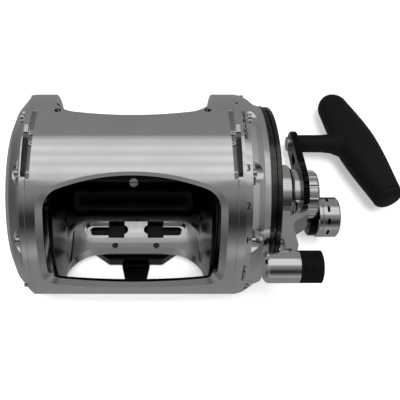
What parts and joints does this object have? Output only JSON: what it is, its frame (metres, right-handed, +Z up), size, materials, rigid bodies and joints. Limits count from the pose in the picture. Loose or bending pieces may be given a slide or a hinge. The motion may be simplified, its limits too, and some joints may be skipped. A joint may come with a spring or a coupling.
{
  "type": "lever drag trolling reel",
  "caption": "Two-speed lever drag trolling reel with one-piece open frame, side plates, wide spool, crank with T-bar grip, drag lever, preset knob and rod foot.",
  "frame": {"origin": "middle of the foot's underside, where the reel sits on the rod", "axes": "+X along the spool axis towards the crank, +Y towards the rod tip, +Z up from the rod"},
  "size_m": [0.2964, 0.2156, 0.153],
  "materials": {
    "silver_frame": "satin anodised, turned",
    "silver_plates": "satin anodised, turned",
    "silver_trim": "polished",
    "chromed_barrel": "polished",
    "black_anodised": "black anodised, glossy",
    "gunmetal": "dark anodised, satin",
    "black_rubber": "satin",
    "black_plastic": "matte",
    "carbon": "woven carbon, matte",
    "steel": "machined",
    "bearing_steel": "ground",
    "bronze": "oiled",
    "screws": "passivated"
  },
  "bodies": {
    "root": {"frame": "silver_frame", "left_side_plate": "silver_plates", "right_side_plate": "silver_plates", "left_plate_screws": "screws", "right_plate_screws": "screws", "left_plate_seal": "black_rubber", "right_plate_seal": "black_rubber", "harness_lug_liners": "black_plastic", "harness_lugs": "silver_trim", "harness_lug_screws": "screws", "reel_foot": "black_anodised", "foot_screws": "screws", "gear_bridge": "steel", "bridge_screws": "screws", "pinion_bearing": "bearing_steel", "crank_inner_bearing": "bearing_steel", "pinion_end_bearing": "bearing_steel", "crank_outer_bearing": "bearing_steel", "shaft_bush": "bronze", "pawl_pins": "steel", "drag_quadrant": "gunmetal", "quadrant_screws": "screws", "cam_housing": "silver_plates"},
    "shaft": {"spool_shaft": "steel", "drag_release_springs": "steel"},
    "spool": {"spool": "black_anodised", "spool_bearing_left": "bearing_steel", "spool_bearing_right": "bearing_steel", "drag_washer": "carbon", "click_ratchet": "steel", "line_tie_screw": "screws"},
    "drive": {"pinion_sleeve": "steel", "drag_plate": "steel", "low_pinion": "steel", "high_pinion": "steel"},
    "crank": {"crank_shaft": "steel", "high_gear": "steel", "anti_reverse_ratchet": "steel", "crank_spacer": "steel", "crank_arm": "black_anodised", "shift_collar": "silver_trim", "shift_spring": "steel", "grip_pin": "steel"},
    "low_gear": {"low_gear": "steel"},
    "shift": {"shift_button": "silver_trim", "shift_spindle": "steel", "shift_key": "steel"},
    "lever": {"drag_lever": "silver_trim", "lever_knob_barrel": "chromed_barrel", "lever_knob_grip": "black_rubber", "lever_knob_stud": "steel", "lever_detent": "steel", "drag_cam": "steel", "lever_cap": "black_anodised"},
    "preset": {"preset_knob": "silver_trim"},
    "grip": {"crank_grip": "black_rubber", "grip_bush": "bronze"},
    "rear_pawl": {"rear_pawl": "steel"},
    "front_pawl": {"front_pawl": "steel"},
    "click": {"click_button": "black_plastic"}
  },
  "joints": [
    {"name": "crank_turn", "type": "hinge", "parent": "root", "child": "crank", "pos_m": [0.132, 0, 0.0495], "axis": [1, 0, 0], "continuous": true},
    {"name": "pinion_turn", "type": "hinge", "parent": "root", "child": "drive", "pos_m": [0.066, 0, 0.083], "axis": [1, 0, 0], "continuous": true},
    {"name": "low_gear_turn", "type": "hinge", "parent": "root", "child": "low_gear", "pos_m": [0.065, 0, 0.0495], "axis": [1, 0, 0], "continuous": true},
    {"name": "lever_turn", "type": "hinge", "parent": "root", "child": "lever", "pos_m": [0.112, 0, 0.083], "axis": [-1, 0, 0], "range_deg": [0, 105]},
    {"name": "shaft_slide", "type": "slide", "parent": "root", "child": "shaft", "axis": [1, 0, 0], "range_m": [0, 0.00071]},
    {"name": "spool_turn", "type": "hinge", "parent": "shaft", "child": "spool", "pos_m": [0, 0, 0.083], "axis": [1, 0, 0], "continuous": true},
    {"name": "preset_turn", "type": "hinge", "parent": "shaft", "child": "preset", "pos_m": [0.123, 0, 0.083], "axis": [1, 0, 0], "range_deg": [-170, 170]},
    {"name": "shift_press", "type": "slide", "parent": "crank", "child": "shift", "axis": [-1, 0, 0], "range_m": [0, 0.0044]},
    {"name": "grip_turn", "type": "hinge", "parent": "crank", "child": "grip", "pos_m": [0.184, 0.08187, 0.02984], "axis": [1, 0, 0], "continuous": true},
    {"name": "rear_pawl_turn", "type": "hinge", "parent": "root", "child": "rear_pawl", "pos_m": [0.076, -0.02152, 0.05407], "axis": [1, 0, 0], "range_deg": [0, 10], "stiffness_Nm_per_rad": 0.004},
    {"name": "front_pawl_turn", "type": "hinge", "parent": "root", "child": "front_pawl", "pos_m": [0.076, 0.02152, 0.04493], "axis": [1, 0, 0], "range_deg": [0, 10], "stiffness_Nm_per_rad": 0.004},
    {"name": "click_slide", "type": "slide", "parent": "root", "child": "click", "axis": [0, -0.5, 0.866], "range_m": [0, 0.0055]}
  ],
  "couplings": [
    {"joint": "pinion_turn", "follows": "crank_turn", "ratio": -3.1875},
    {"joint": "spool_turn", "follows": "crank_turn", "ratio": -3.1875},
    {"joint": "low_gear_turn", "follows": "crank_turn", "ratio": 2.4326},
    {"joint": "shaft_slide", "follows": "lever_turn", "m_per_rad": 0.000382}
  ]
}
